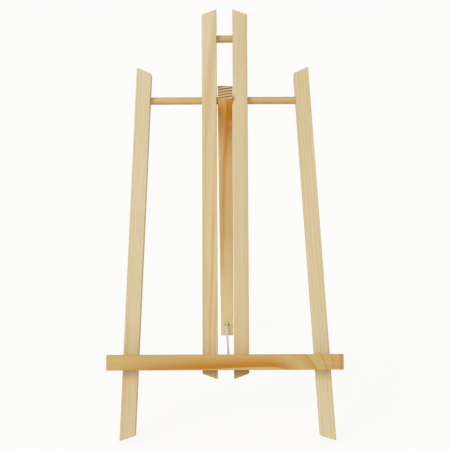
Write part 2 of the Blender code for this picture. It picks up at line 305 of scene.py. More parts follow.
GRAIN = {
    "left_leg": Grain(
        ring_spacing=2.4, ring_turn=50, late_from=0.55, strength=0.45, wander=1.2, seed=3.1,
        drift=((0.0, 1.5), (0.20, 1.0), (0.24, 0.0), (0.29, -12.0), (0.36, 0.0), (0.5, -0.5), (1.0, -1.5)),
        tone=((0.0, 0.22), (0.24, 0.28), (0.33, 0.14), (0.6, 0.02), (1.0, 0.0)),
        streaks=(
            Streak(
                half_width=3.0, path=((0.0, -5.0), (0.35, -4.6)),
                swell=((0.2, 0.45), (0.32, 0.3), (0.42, 0.0)),
            ),
        ),
    ),
    "right_leg": Grain(
        ring_spacing=3.6, ring_turn=62, late_from=0.66, strength=0.70, wander=0.5, seed=7.7,
        drift=((0.0, 0.0), (0.3, 0.0), (0.5, 1.2), (0.7, 2.4), (1.0, 2.6)),
        tone=((0.0, 0.12), (1.0, 0.20)),
    ),
    "left_upright": Grain(
        ring_spacing=3.0, ring_turn=30, late_from=0.45, strength=0.15, wander=0.8, seed=12.4,
        drift=((0.0, 4.0), (0.5, 1.0), (1.0, -4.0)),
        # Below the ledge the tone and the light are painted shade: the lower end is browned and darkened where the
        # ledge's shadow falls
        tone=((0.0, 0.6), (0.028, 0.8), (0.045, 0.24), (0.5, 0.2), (0.9, 0.04), (1.0, 0.02)),
        light=((0.0, 0.97), (0.028, 0.87), (0.045, 1.0)),
        streaks=(
            Streak(
                half_width=3.2,
                path=(
                    (0.08, -6.0), (0.2, -5.8), (0.43, -5.3), (0.54, -4.9), (0.65, -3.8),
                    (0.76, -2.0), (0.82, -0.4), (0.87, 2.2), (0.94, 6.2), (1.0, 10.0),
                ),
                swell=((0.0, 0.45), (0.5, 0.45), (0.7, 0.5), (0.85, 0.5), (1.0, 0.4)),
            ),
            Streak(
                half_width=8.0,
                path=((0.6, -4.0), (0.76, -1.0), (0.82, 1.0), (0.87, 3.5), (0.94, 7.0), (1.0, 10.0)),
                swell=((0.6, 0.0), (0.75, 0.45), (0.9, 0.45), (1.0, 0.3)),
            ),
            Streak(
                half_width=3.0,
                path=(
                    (0.07, -0.5), (0.2, 1.3), (0.26, 2.2), (0.36, 3.1), (0.43, 3.6),
                    (0.54, 4.9), (0.63, 6.2), (0.72, 7.8), (0.8, 10.0),
                ),
                swell=((0.0, 0.85), (0.2, 0.75), (0.4, 0.6), (0.55, 0.5), (0.72, 0.4), (0.8, 0.2)),
            ),
            Streak(
                half_width=2.6,
                path=((0.0, 4.6), (0.07, 5.1), (0.15, 5.8), (0.21, 6.9), (0.26, 8.2), (0.4, 12.0)),
                swell=((0.0, 0.65), (0.3, 0.55), (0.35, 0.0)),
            ),
            Streak(
                half_width=1.8, path=((0.3, 3.3), (0.5, 3.9)),
                swell=((0.36, 0.0), (0.40, 1.0), (0.425, 1.0), (0.46, 0.0)),
            ),
        ),
    ),
    "right_upright": Grain(
        ring_spacing=2.0, ring_turn=34, late_from=0.45, strength=0.18, wander=0.9, seed=21.9,
        drift=((0.0, 0.5), (0.5, 0.0), (1.0, -0.7)),
        # Below the ledge the tone and the light are painted shade: the lower end is browned and darkened where the
        # ledge's shadow falls
        tone=((0.0, 1.0), (0.028, 1.0), (0.045, 0.36), (0.3, 0.28), (0.6, 0.22), (1.0, 0.24)),
        light=((0.0, 0.95), (0.028, 0.78), (0.045, 1.0)),
        streaks=(
            Streak(half_width=11.0, path=((0.0, 11.0), (1.0, 11.0)), swell=((0.0, 0.5), (1.0, 0.5))),
            Streak(half_width=1.3, path=((0.0, 6.2), (1.0, 6.5)), swell=((0.0, 0.4), (1.0, 0.4))),
        ),
    ),
    "rear_leg": Grain(
        ring_spacing=3.5, ring_turn=-10, late_from=0.42, strength=0.12, wander=0.25, seed=30.2,
        streak_shade=0.3, pith=160.0,
        drift=((0.0, 2.0), (1.0, -1.0)),
        # Light here is painted light and shade: it lifts the wood below the hinge, where the uprights cast their
        # shadow, and dims the head, which stands out into the key light, a little
        light=(
            (0.6, 1.0), (0.7, 1.035), (0.77, 1.09), (0.81, 1.13), (0.85, 1.16), (0.885, 1.14), (0.92, 1.0),
            (0.95, 0.96),
        ),
        # Tone is partly the wood's own orange and partly painted shade: it browns the upper part, which sits deep
        # in the slot between the uprights
        tone=(
            (0.2, 0.0), (0.35, 0.08), (0.5, 0.28), (0.7, 0.26), (0.8, 0.32), (0.86, 0.55), (0.9, 0.74),
            (0.95, 0.54),
        ),
        streaks=(
            Streak(
                half_width=4.0,
                path=(
                    (0.3, -6.5), (0.4, -6.3), (0.5, -4.6), (0.6, -4.2), (0.7, -3.0), (0.75, -2.4),
                    (0.8, 0.0), (0.86, 1.2), (0.9, 2.0), (1.0, 2.4),
                ),
                swell=(
                    (0.25, 0.0), (0.35, 0.4), (0.5, 0.4), (0.6, 0.54), (0.8, 0.6), (0.86, 0.75),
                    (0.9, 0.98), (0.95, 0.7),
                ),
            ),
            Streak(
                half_width=5.0, path=((0.8, 4.5), (0.9, 4.7), (0.95, 5.2)),
                swell=((0.78, 0.0), (0.86, 0.45), (0.88, 0.88), (0.9, 0.9), (0.935, 0.75), (0.95, 0.6)),
            ),
        ),
    ),
    "ledge": Grain(
        ring_spacing=4.2, ring_turn=70, late_from=0.55, strength=0.12, wander=1.4, seed=41.5,
        drift=((0.0, -1.0), (0.5, 0.0), (1.0, 1.0)),
        tone=((0.2, 0.06), (0.4, 0.05), (0.5, 0.08), (0.6, 0.12), (0.73, 0.16), (0.79, 0.05)),
    ),
}


# Places across a strip go through colour ramps as millimetres / ACROSS_MM + 0.5
ACROSS_MM = 32.0
# Streaks move this far across a strip for each millimetre into it
STREAK_SLANT = 0.6
# Streaks stronger than this lose some light as well
RICH_STREAK = 0.6
# How squarely a surface faces along the strip where it starts to be a sawn end, and where it fully is
END_FROM = 0.6
END_FULL = 0.8
# Nearly all of a noise lies between these
NOISE_LOW = 0.3
NOISE_HIGH = 0.7
# How far the harder summer growth stands up, against the fibre
LATEWOOD_RELIEF = 0.3

# Band of the ledge: how far below the middle its lower edge may lie, and where its colour starts and
# ends above that edge
BAND_DROP_MM = 16.0
BAND_FROM_MM = -2.0
BAND_TO_MM = 14.0
# Year lines of the ledge, to the right of its middle: where they would stand upright, how fast they
# lean before that, and the stretch that they take up
LINES_UPRIGHT_MM = 121.0
LINES_LEAN = 0.0234
LINES_FROM_MM = 60.0
LINES_TO_MM = 124.0
# How strongly a year line takes the band's colour, and the light that it loses
LINE_TINT = 0.3
LINE_SHADE = 0.2


def strip_place(node_name, lean, turn=0.0):
    """Matrix at a strip's middle: across the strip, deep into it and along it."""
    stance = Matrix.Rotation(-lean, 4, "X") @ Matrix.Rotation(turn, 4, "Y")
    return Matrix.Translation(box_middle(node_name)) @ stance


def strip_spot(tree, place):
    """Millimetres across, deep and along a strip, and whether its surface is a sawn end."""
    turn = place.to_3x3().transposed()
    spot = add_node(tree, "Mapping", {
        "Vector": add_node(tree, "TexCoord", out="Object"),
        "Location": turn @ place.translation * -MM,
        "Rotation": turn.to_euler(),
        "Scale": (MM, MM, MM),
    })
    facing = add_node(tree, "Mapping", {
        "Vector": add_node(tree, "TexCoord", out="Normal"),
        "Rotation": turn.to_euler(),
    }, vector_type="VECTOR")
    endwards = add_node(tree, "SeparateXYZ", {0: facing}, out="Z")
    endwards = add_node(tree, "Math", {0: endwards}, operation="ABSOLUTE")
    end_face = add_node(tree, "MapRange", {
        "Value": endwards, "From Min": END_FROM, "From Max": END_FULL,
    })
    return spot, end_face


def stretched_noise(tree, spot, seed, across_mm, along_mm, detail=2.0, low=0.0, high=1.0):
    """Noise with blotches of the given size across and along the grain, spread from low to high."""
    stretch = (1 / across_mm, 1 / across_mm, 1 / along_mm)
    place = add_node(
        tree, "VectorMath", {0: spot, 1: stretch, 2: (seed, seed, seed)}, operation="MULTIPLY_ADD",
    )
    noise = add_node(tree, "TexNoise", {"Vector": place, "Scale": 1.0, "Detail": detail})
    return add_node(tree, "MapRange", {
        "Value": noise, "From Min": NOISE_LOW, "From Max": NOISE_HIGH, "To Min": low, "To Max": high,
    })


def share_along(tree, along, length_mm):
    """0 to 1 from one end of a piece to the other."""
    return add_node(tree, "MapRange", {
        "Value": along, "From Min": -length_mm / 2, "From Max": length_mm / 2,
    })


def across_ramp(tree, share, stops):
    """Millimetres across a strip, smoothly through (share, millimetres) stops."""
    stops = [(position, mm / ACROSS_MM + 0.5) for position, mm in stops]
    place = add_node(tree, "ValToRGB", {0: share}, stops=stops, ease="B_SPLINE")
    return add_node(
        tree, "Math", {0: place, 1: ACROSS_MM, 2: -ACROSS_MM / 2}, operation="MULTIPLY_ADD",
    )


def resin_streaks(tree, spot, streaks):
    """Strength of the streaks, which cut slantwise through the strip from its front face."""
    across, deep, along = add_node(tree, "SeparateXYZ", {0: spot}).node.outputs
    share = share_along(tree, along, STRIP_MM)
    behind = add_node(tree, "Math", {0: deep, 1: STREAK_SLANT, 2: across}, operation="MULTIPLY_ADD")
    wobble = stretched_noise(tree, spot, seed=8.0, across_mm=5, along_mm=45, low=-0.5, high=0.5)
    behind = add_node(tree, "Math", {0: behind, 1: wobble}, operation="ADD")
    total = None
    for streak in streaks:
        middle = across_ramp(tree, share, streak.path)
        middle = add_node(tree, "Math", {0: middle, 1: FRONT_MM * STREAK_SLANT}, operation="SUBTRACT")
        away = add_node(tree, "Math", {0: behind, 1: middle}, operation="SUBTRACT")
        away = add_node(tree, "Math", {0: away}, operation="ABSOLUTE")
        near = add_node(tree, "MapRange", {
            "Value": away, "From Min": 0.0, "From Max": streak.half_width, "To Min": 1.0, "To Max": 0.0,
        }, interpolation_type="SMOOTHSTEP")
        swell = add_node(tree, "ValToRGB", {0: share}, stops=streak.swell, ease="EASE")
        near = add_node(tree, "Math", {0: near, 1: swell}, operation="MULTIPLY")
        total = add_node(tree, "Math", {0: total, 1: near}, operation="MAXIMUM") if total else near
    return total


def year_rings(tree, spot, grain):
    """Latewood share, 0 to 1, where a strip's surface cuts the year rings."""
    across, deep, along = add_node(tree, "SeparateXYZ", {0: spot}).node.outputs
    shift = across_ramp(tree, share_along(tree, along, STRIP_MM), grain.drift)
    across = add_node(tree, "Math", {0: across, 1: shift}, operation="ADD")
    section = add_node(tree, "CombineXYZ", {0: across, 1: deep})
    sine = math.sin(math.radians(grain.ring_turn))
    cosine = math.cos(math.radians(grain.ring_turn))
    outwards = add_node(
        tree, "VectorMath", {0: section, 1: (sine, cosine, 0)}, "Value", operation="DOT_PRODUCT",
    )
    beside = add_node(
        tree, "VectorMath", {0: section, 1: (cosine, -sine, 0)}, "Value", operation="DOT_PRODUCT",
    )
    curved = add_node(tree, "Math", {0: beside, 1: beside}, operation="MULTIPLY")
    radius = add_node(
        tree, "Math", {0: curved, 1: 0.5 / grain.pith, 2: outwards}, operation="MULTIPLY_ADD",
    )
    wander = stretched_noise(tree, spot, grain.seed, across_mm=14, along_mm=90, high=grain.wander)
    radius = add_node(tree, "Math", {0: radius, 1: wander}, operation="ADD")
    years = add_node(tree, "Math", {0: radius, 1: grain.ring_spacing}, operation="DIVIDE")
    season = add_node(tree, "Math", {0: years}, operation="FRACT")
    late = add_node(
        tree, "ValToRGB", {0: season}, ease="EASE",
        stops=((0.0, 0.0), (grain.late_from, 0.05), (0.86, 1.0), (0.93, 0.9), (1.0, 0.0)),
    )
    # Some years grew darker summer wood than others
    year = add_node(tree, "Math", {0: years}, operation="FLOOR")
    vigour = add_node(tree, "TexWhiteNoise", {"W": year}, noise_dimensions="1D")
    vigour = add_node(tree, "MapRange", {"Value": vigour, "To Min": 0.6, "To Max": 1.0})
    return add_node(tree, "Math", {0: late, 1: vigour}, operation="MULTIPLY")


def ledge_band(tree, spot, up, deep, share):
    """Strength of a resinous band that arches low along the ledge and sinks towards its back."""
    # Height of the band's lower edge over the ledge's middle, as 1 + height / BAND_DROP_MM
    edge = add_node(
        tree, "ValToRGB", {0: share}, ease="B_SPLINE",
        stops=(
            (0.0, 0.19), (0.128, 0.31), (0.221, 0.44), (0.314, 0.52), (0.407, 0.57), (0.5, 0.595),
            (0.593, 0.665), (0.686, 0.68), (0.726, 0.63), (0.779, 0.43), (0.823, 0.25), (1.0, 0.0),
        ),
    )
    edge = add_node(tree, "Math", {0: edge, 1: BAND_DROP_MM, 2: -BAND_DROP_MM}, operation="MULTIPLY_ADD")
    behind = add_node(tree, "Math", {0: deep, 1: FRONT_MM}, operation="ADD")
    sunk = add_node(tree, "Math", {0: behind, 1: STREAK_SLANT, 2: up}, operation="MULTIPLY_ADD")
    wobble = stretched_noise(tree, spot, seed=5.0, across_mm=6, along_mm=40, low=-0.5, high=0.5)
    above = add_node(tree, "Math", {0: sunk, 1: edge}, operation="SUBTRACT")
    above = add_node(tree, "Math", {0: above, 1: wobble}, operation="ADD")
    above = add_node(tree, "MapRange", {
        "Value": above, "From Min": BAND_FROM_MM, "From Max": BAND_TO_MM,
    })
    band = add_node(
        tree, "ValToRGB", {0: above},
        stops=(
            (0.075, 0.05), (0.125, 0.5), (0.175, 1.0), (0.325, 1.0), (0.406, 0.87), (0.53, 0.67),
            (0.656, 0.51), (0.78, 0.36), (0.94, 0.2), (1.0, 0.15),
        ),
    )
    swell = add_node(
        tree, "ValToRGB", {0: share}, ease="EASE",
        stops=(
            (0.0, 0.15), (0.128, 0.45), (0.221, 0.75), (0.314, 0.88), (0.407, 1.0), (0.686, 1.0),
            (0.734, 0.88), (0.779, 0.52), (0.823, 0.25), (0.87, 0.0),
        ),
    )
    return add_node(tree, "Math", {0: band, 1: swell}, operation="MULTIPLY")


def ledge_year_lines(tree, up, right):
    """Strength of the year lines across the ledge's right end, and of the growth between them."""
    # The lines lean towards the ledge's middle at the top, less so nearer the end
    reach = add_node(tree, "Math", {0: LINES_UPRIGHT_MM, 1: right}, operation="SUBTRACT")
    slant = add_node(tree, "Math", {0: reach, 1: up}, operation="MULTIPLY")
    line_at = add_node(tree, "Math", {0: slant, 1: LINES_LEAN, 2: right}, operation="MULTIPLY_ADD")
    line_at = add_node(tree, "MapRange", {
        "Value": line_at, "From Min": LINES_FROM_MM, "From Max": LINES_TO_MM,
    })
    growth = add_node(
        tree, "ValToRGB", {0: line_at},
        stops=((0.0, 0.0), (0.19, 0.05), (0.41, 0.40), (0.48, 0.55), (0.51, 0.10), (0.95, 0.3)),
    )
    lines = add_node(
        tree, "ValToRGB", {0: line_at},
        stops=(
            (0.46, 0.0), (0.49, 0.5), (0.505, 0.0), (0.667, 0.0), (0.687, 1.0), (0.707, 0.0),
            (0.80, 0.0), (0.82, 1.0), (0.84, 0.0), (0.92, 0.0), (0.95, 1.0), (0.975, 0.5), (0.985, 0.0),
        ),
    )
    return lines, growth


def ledge_figure(tree, spot):
    """Strength of the band's colour on the ledge, and of its year lines."""
    up, deep, along = add_node(tree, "SeparateXYZ", {0: spot}).node.outputs
    right = add_node(tree, "Math", {0: along, 1: -1.0}, operation="MULTIPLY")
    band = ledge_band(tree, spot, up, deep, share_along(tree, right, LEDGE_MM))
    lines, growth = ledge_year_lines(tree, up, right)
    tint = add_node(tree, "Math", {0: lines, 1: LINE_TINT}, operation="MULTIPLY")
    band = add_node(tree, "Math", {0: band, 1: growth}, operation="MAXIMUM")
    return add_node(tree, "Math", {0: band, 1: tint}, operation="MAXIMUM"), lines


def sawn_end(tree, spot, late, seed):
    """Colour of a sawn end, whose cut fibres stand open as pores, drawn half a millimetre wide to show."""
    wood = bpy.context.scene.easel_wood
    rings = add_node(tree, "ValToRGB", {0: late}, stops=((0.02, 0.0), (0.3, 0.75), (0.9, 1.0)))
    pores = stretched_noise(tree, spot, seed, across_mm=0.5, along_mm=0.5, low=-0.15, high=0.2)
    rings = add_node(tree, "Math", {0: rings, 1: pores}, operation="ADD")
    return add_node(
        tree, "Mix", {0: rings, 6: tuple(wood.end_pale), 7: tuple(wood.end_dark)}, 2, data_type="RGBA",
    )


def planed_pine(name, place, grain, pale, band, figure=None):
    """Pine, planed and left bare.

    Pale spring growth with darker, harder and slightly glossier summer growth, fine fibre
    and short flecks along the strip, and open, strongly banded sawn ends.
    """
    material, tree, shader = new_material(name)
    spot, end_face = strip_spot(tree, place)
    late = year_rings(tree, spot, grain)
    dark = add_node(tree, "Math", {0: late, 1: grain.strength}, operation="MULTIPLY")
    if grain.streaks:
        streaks = resin_streaks(tree, spot, grain.streaks)
        dark = add_node(tree, "Math", {0: dark, 1: streaks}, operation="MAXIMUM")
    if figure:
        figure_band, figure_lines = figure(tree, spot)
        dark = add_node(tree, "Math", {0: dark, 1: figure_band}, operation="MAXIMUM")
    colour = add_node(tree, "Mix", {0: dark, 6: pale, 7: band}, 2, data_type="RGBA")

    # Slow change of tone along the strip, in uneven patches; on the uprights' lower ends and the rear leg's upper
    # part it is partly painted shade
    along = add_node(tree, "SeparateXYZ", {0: spot}, out="Z")
    share = share_along(tree, along, STRIP_MM)
    tone = add_node(tree, "ValToRGB", {0: share}, stops=grain.tone, ease="EASE")
    patch = stretched_noise(tree, spot, grain.seed + 1, across_mm=18, along_mm=110, high=0.12)
    tone = add_node(tree, "Math", {0: tone, 1: patch}, operation="ADD")
    colour = add_node(tree, "Mix", {0: tone, 6: colour, 7: band}, 2, data_type="RGBA")

    # Fibre and flecks are finer than a pixel of the render, so they are drawn about 1 mm wide
    fibre = stretched_noise(
        tree, spot, grain.seed + 2, across_mm=1.1, along_mm=60, detail=3.0, low=-0.05, high=0.05,
    )
    fleck = stretched_noise(
        tree, spot, grain.seed + 3, across_mm=0.9, along_mm=5, low=-0.03, high=0.03,
    )
    shade = add_node(tree, "Math", {0: fibre, 1: fleck}, operation="ADD")
    # Painted light and shade: a brightness along the strip that lifts or deepens the wood where shadow falls
    light = 1.0
    if grain.light:
        light = add_node(tree, "ValToRGB", {0: share}, stops=grain.light, ease="EASE")
    value = add_node(tree, "Math", {0: shade, 1: light}, operation="ADD")
    if grain.streak_shade:
        rich = add_node(tree, "MapRange", {
            "Value": streaks, "From Min": RICH_STREAK, "From Max": 1.0, "To Max": grain.streak_shade,
        })
        value = add_node(tree, "Math", {0: value, 1: rich}, operation="SUBTRACT")
    if figure:
        value = add_node(
            tree, "Math", {0: figure_lines, 1: -LINE_SHADE, 2: value}, operation="MULTIPLY_ADD",
        )
    colour = add_node(tree, "HueSaturation", {"Value": value, "Color": colour})
    end = sawn_end(tree, spot, late, grain.seed + 4)
    colour = add_node(tree, "Mix", {0: end_face, 6: colour, 7: end}, 2, data_type="RGBA")

    roughness = add_node(tree, "MapRange", {"Value": dark, "To Min": 0.64, "To Max": 0.5})
    roughness = add_node(tree, "Math", {0: roughness, 1: shade}, operation="ADD")
    relief = add_node(
        tree, "Math", {0: dark, 1: LATEWOOD_RELIEF, 2: fibre}, operation="MULTIPLY_ADD",
    )
    normal = add_node(tree, "Bump", {"Strength": 0.35, "Distance": 0.0003, "Height": relief})
    link_surface(tree, shader, colour, roughness, normal)
    shader.inputs["IOR"].default_value = 1.5
    # Bare wood scatters most of what a smooth surface would mirror
    shader.inputs["Specular IOR Level"].default_value = 0.12
    return material


def turned_birch(name, place):
    """Birch, turned to a rod: even and fine, with short flecks and a faint polish from the lathe."""
    wood = bpy.context.scene.easel_wood
    material, tree, shader = new_material(name)
    spot, end_face = strip_spot(tree, place)
    # Flecks and pores are finer than a pixel of the render, so they are drawn coarser to show
    fleck = stretched_noise(tree, spot, seed=2.0, across_mm=0.9, along_mm=9, detail=3.0)
    streak = stretched_noise(tree, spot, seed=4.0, across_mm=1.6, along_mm=70)
    dark = add_node(tree, "Math", {0: fleck, 1: streak}, operation="MULTIPLY")
    colour = add_node(
        tree, "Mix", {0: dark, 6: tuple(wood.birch), 7: tuple(wood.birch_fleck)}, 2, data_type="RGBA",
    )
    pores = stretched_noise(tree, spot, seed=6.0, across_mm=0.5, along_mm=0.5, high=0.35)
    end = add_node(
        tree, "Mix", {0: pores, 6: tuple(wood.birch_fleck), 7: tuple(wood.end_dark)}, 2, data_type="RGBA",
    )
    colour = add_node(tree, "Mix", {0: end_face, 6: colour, 7: end}, 2, data_type="RGBA")
    roughness = add_node(tree, "MapRange", {"Value": fleck, "To Min": 0.48, "To Max": 0.6})
    normal = add_node(tree, "Bump", {"Strength": 0.25, "Distance": 0.0002, "Height": fleck})
    link_surface(tree, shader, colour, roughness, normal)
    return material


def braided_nylon(name):
    """Nylon, braided: off-white yarn with a soft sheen, greyer in the furrows of the braid."""
    cord = bpy.context.scene.easel_cord
    material, tree, shader = new_material(name)
    height = add_node(tree, "Attribute", out="Fac", attribute_name="braid_height")
    # Fuzz of the yarn, drawn at 2.5 tufts a millimetre, because single filaments are too fine to show
    fuzz = add_node(tree, "TexNoise", {
        "Vector": add_node(tree, "TexCoord", out="Object"), "Scale": 2.5 * MM, "Detail": 2.0,
    })
    crest = add_node(tree, "Math", {0: fuzz, 1: FUZZ_LIFT, 2: height}, operation="MULTIPLY_ADD")
    crest = add_node(tree, "MapRange", {"Value": crest, "From Min": 0.25, "From Max": 0.9})
    colour = add_node(
        tree, "Mix", {0: crest, 6: tuple(cord.furrow), 7: tuple(cord.colour)}, 2, data_type="RGBA",
    )
    roughness = add_node(tree, "MapRange", {"Value": crest, "To Min": 0.85, "To Max": 0.6})
    normal = add_node(tree, "Bump", {"Strength": 0.3, "Distance": 0.0001, "Height": fuzz})
    link_surface(tree, shader, colour, roughness, normal)
    shader.inputs["Sheen Weight"].default_value = 0.2
    return material


def galvanised_wire(name):
    """Steel wire, galvanised: bright grey metal with duller, rougher spots."""
    cord = bpy.context.scene.easel_cord
    material, tree, shader = new_material(name)
    # Spots of dull zinc, a little under a millimetre apart
    spots = add_node(tree, "TexNoise", {
        "Vector": add_node(tree, "TexCoord", out="Object"), "Scale": 1.2 * MM, "Detail": 3.0,
    })
    colour = add_node(
        tree, "Mix", {0: spots, 6: tuple(cord.zinc), 7: tuple(cord.zinc_dark)}, 2, data_type="RGBA",
    )
    roughness = add_node(tree, "MapRange", {"Value": spots, "To Min": 0.25, "To Max": 0.55})
    normal = add_node(tree, "Bump", {"Strength": 0.2, "Distance": 0.0001, "Height": spots})
    link_surface(tree, shader, colour, roughness, normal)
    shader.inputs["Metallic"].default_value = 1.0
    return material


class EASEL_OT_pine_strips(bpy.types.Operator):
    """Finish the two legs and the two uprights in planed pine"""
    bl_idname = "easel.pine_strips"
    bl_label = "Legs and uprights"

    def execute(self, context):
        wood = context.scene.easel_wood
        turns = {
            "left_leg": LEFT_LEG_SPLAY, "right_leg": RIGHT_LEG_SPLAY,
            "left_upright": 0.0, "right_upright": 0.0,
        }
        for node_name, turn in turns.items():
            place = strip_place(node_name, FRAME_LEAN, turn)
            dress(node_name, planed_pine(
                "planed_pine_" + node_name, place, GRAIN[node_name],
                tuple(wood.earlywood), tuple(wood.latewood),
            ))
        return {"FINISHED"}


class EASEL_OT_ledge(bpy.types.Operator):
    """Finish the ledge in planed pine with a resinous band"""
    bl_idname = "easel.ledge"
    bl_label = "Ledge"

    def execute(self, context):
        wood = context.scene.easel_wood
        place = strip_place("ledge", FRAME_LEAN, CROSSWAYS)
        dress("ledge", planed_pine(
            "planed_pine_ledge", place, GRAIN["ledge"],
            tuple(wood.ledge_pale), tuple(wood.ledge_band), ledge_figure,
        ))
        return {"FINISHED"}


class EASEL_OT_rear_leg(bpy.types.Operator):
    """Finish the rear leg in planed pine"""
    bl_idname = "easel.rear_leg"
    bl_label = "Rear leg"

    def execute(self, context):
        wood = context.scene.easel_wood
        place = strip_place("rear_leg", REAR_LEAN)
        dress("rear_leg", planed_pine(
            "planed_pine_rear_leg", place, GRAIN["rear_leg"],
            tuple(wood.rear_pale), tuple(wood.rear_band),
        ))
        return {"FINISHED"}


def turned_rod(name, node_name):
    """Rod along X in place of a dowel node, with its sawn rims eased."""
    low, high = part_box(node_name)
    deselect_all()
    bpy.ops.mesh.primitive_cylinder_add(
        vertices=ROD_SIDES, radius=(high.z - low.z) / 2, depth=high.x - low.x,
        location=(low + high) / 2, rotation=(0, math.radians(90), 0),
    )
    rod = bpy.context.object
    rod.name = name
    bpy.ops.object.transform_apply(location=True, rotation=True, scale=True)
    bpy.ops.object.mode_set(mode="EDIT")
    bpy.ops.mesh.select_mode(type="FACE")
    bpy.ops.mesh.select_all(action="DESELECT")
    cage = bmesh.from_edit_mesh(rod.data)
    for face in cage.faces:
        is_sawn_end = abs(face.normal.x) > 0.9
        face.select_set(is_sawn_end)
    bmesh.update_edit_mesh(rod.data)
    bpy.ops.mesh.bevel(offset=RIM_EASE, segments=RIM_STEPS, affect="EDGES")
    bpy.ops.object.mode_set(mode="OBJECT")
    bpy.ops.object.shade_smooth_by_angle(angle=ROD_SMOOTH_ANGLE)
    return rod


class EASEL_OT_dowels(bpy.types.Operator):
    """Turn the pivot dowel and the top dowel from birch rod"""
    bl_idname = "easel.dowels"
    bl_label = "Dowels"

    def execute(self, context):
        for node_name in ("pivot_dowel", "top_dowel"):
            rod = turned_rod(node_name + "_rod", node_name)
            place = strip_place(node_name, FRAME_LEAN, CROSSWAYS)
            rod.data.materials.append(turned_birch("turned_birch_" + node_name, place))
            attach(rod, "front_frame")
            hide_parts(node_name)
        return {"FINISHED"}


def staple_seat(node_name, lean, turn):
    """Matrix on the wood under a staple: crown along X, out along Y."""
    stance = Matrix.Rotation(-lean, 4, "X") @ Matrix.Rotation(turn, 4, "Z")
    wire = bpy.context.scene.easel_cord.wire
    out_of_middle = (STAPLE_BITE - STAPLE_CROWN - wire / 2) / 2
    seat = box_middle(node_name) + stance.to_3x3() @ Vector((0, out_of_middle, 0))
    return Matrix.Translation(seat) @ stance


def rear_seat():
    return staple_seat("rear_leg_staple", REAR_LEAN, math.pi)


def ledge_seat():
    return staple_seat("ledge_staple", FRAME_LEAN, 0.0)


def smooth_points(route, spacing):
    """Points about that far apart on a smooth curve through the route, which doesn't overshoot."""
    padded = [2 * route[0] - route[1], *route, 2 * route[-1] - route[-2]]
    points = []
    for before, start, end, after in zip(padded, padded[1:], padded[2:], padded[3:]):
        knots = [0.0]
        for a, b in ((before, start), (start, end), (end, after)):
            knots.append(knots[-1] + math.sqrt((b - a).length))
        t0, t1, t2, t3 = knots
        steps = max(2, math.ceil((end - start).length / spacing))
        for step in range(steps):
            t = t1 + (t2 - t1) * step / steps
            a1 = before.lerp(start, (t - t0) / (t1 - t0))
            a2 = start.lerp(end, (t - t1) / (t2 - t1))
            a3 = end.lerp(after, (t - t2) / (t3 - t2))
            b1 = a1.lerp(a2, (t - t0) / (t2 - t0))
            b2 = a2.lerp(a3, (t - t1) / (t3 - t1))
            points.append(b1.lerp(b2, (t - t1) / (t2 - t1)))
    points.append(route[-1])
    return points


def cord_route():
    """From the tail on the rear leg, under its staple, nearly straight to under the ledge's staple."""
    start = [rear_seat() @ Vector(point) for point in CORD_AT_REAR_STAPLE]
    end = [ledge_seat() @ Vector(point) for point in CORD_AT_LEDGE_STAPLE]
    free = []
    for step in range(1, CORD_FREE_STEPS):
        share = step / CORD_FREE_STEPS
        point = start[-1].lerp(end[0], share)
        # A parabola, which reaches CORD_SAG half way
        point.z -= CORD_SAG * 4 * share * (1 - share)
        free.append(point)
    return smooth_points(start + free + end, CORD_RING_SPACING)


def lengths_along(points):
    """Distance of each point from the first, along the route."""
    along = [0.0]
    for before, point in zip(points, points[1:]):
        along.append(along[-1] + (point - before).length)
    return along


def ring_frames(points):
    """Each point with two directions square to the route, which turn as little as they can."""
    side = Vector((1, 0, 0))
    rings = []
    for i, point in enumerate(points):
        forward = (points[min(i + 1, len(points) - 1)] - points[max(i - 1, 0)]).normalized()
        side = (side - forward * side.dot(forward)).normalized()
        rings.append((point, side, forward.cross(side)))
    return rings


def braided_tube(name, points, cord):
    """Flat grid rolled round the route, pinched into a braid, with heat-sealed round ends."""
    deselect_all()
    bpy.ops.mesh.primitive_grid_add(x_subdivisions=len(points) - 1, y_subdivisions=CORD_SIDES, size=2)
    tube = bpy.context.object
    tube.name = name
    mesh = tube.data
    along = lengths_along(points)
    rings = ring_frames(points)
    heights = mesh.attributes.new("braid_height", "FLOAT", "POINT")
    radius = cord.diameter / 2
    for vertex in mesh.vertices:
        i = round((vertex.co.x + 1) / 2 * (len(points) - 1))
        turn = (vertex.co.y + 1) / 2
        wound = along[i] / cord.braid_pitch
        right_hand = abs(math.sin(math.pi * (cord.strands * turn + wound)))
        left_hand = abs(math.sin(math.pi * (cord.strands * turn - wound)))
        height = math.sqrt(right_hand * left_hand)
        heights.data[vertex.index].value = height
        from_end = min(along[i], along[-1] - along[i]) / radius
        seal = math.sqrt(1 - (1 - min(from_end, 1)) ** 2)
        reach = (radius - cord.braid_depth * (1 - height)) * seal
        point, side, up = rings[i]
        angle = 2 * math.pi * turn
        vertex.co = point + (side * math.cos(angle) + up * math.sin(angle)) * reach
    bpy.ops.object.mode_set(mode="EDIT")
    bpy.ops.mesh.select_all(action="SELECT")
    bpy.ops.mesh.remove_doubles(threshold=MERGE_DISTANCE)
    bpy.ops.mesh.normals_make_consistent(inside=False)
    bpy.ops.object.mode_set(mode="OBJECT")
    bpy.ops.object.shade_smooth()
    return tube, along[-1]


class EASEL_OT_stay_cord(bpy.types.Operator):
    """Braid the stay cord from the rear leg to the ledge"""
    bl_idname = "easel.stay_cord"
    bl_label = "Stay cord"

    def execute(self, context):
        cord = context.scene.easel_cord
        points = cord_route()
        tube, length = braided_tube("braided_stay_cord", points, cord)
        tube.data.materials.append(braided_nylon("braided_nylon"))
        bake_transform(tube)
        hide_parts("stay_cord")
        return {"FINISHED"}


